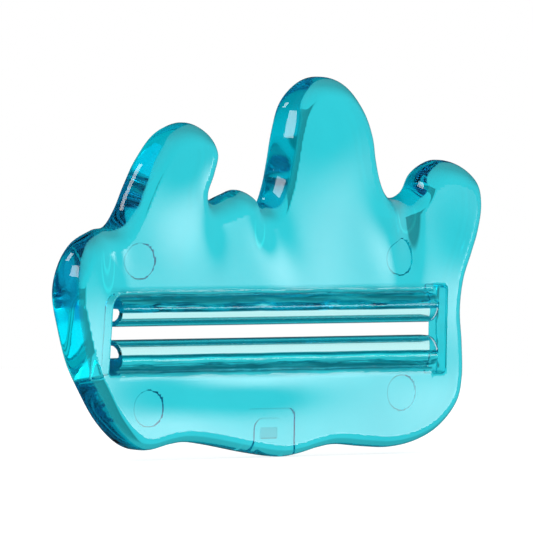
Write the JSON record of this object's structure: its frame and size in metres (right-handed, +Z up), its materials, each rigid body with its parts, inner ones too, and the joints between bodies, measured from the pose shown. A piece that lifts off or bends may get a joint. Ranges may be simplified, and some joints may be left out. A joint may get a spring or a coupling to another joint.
{
  "type": "toothpaste tube squeezer",
  "caption": "Clear turquoise splash-shaped plate with a narrow pinch gap between two channel rails, pulled along a toothpaste tube's tail to press the paste out.",
  "frame": {"origin": "middle of the bounding box, at the height of the plate's lowest point", "axes": "+X to the right along the rails as seen from the front, +Y from the front face to the flat back, +Z up towards the fingers"},
  "size_m": [0.0894, 0.0054, 0.0646],
  "materials": {
    "clear_turquoise": "clear and polished"
  },
  "bodies": {
    "root": {"upper_web": "clear_turquoise", "lower_web": "clear_turquoise", "left_bridge": "clear_turquoise", "right_bridge": "clear_turquoise", "left_finger": "clear_turquoise", "small_crest": "clear_turquoise", "middle_finger": "clear_turquoise", "right_finger": "clear_turquoise", "upper_rail": "clear_turquoise", "lower_rail": "clear_turquoise", "gate_pad": "clear_turquoise"}
  },
  "joints": []
}
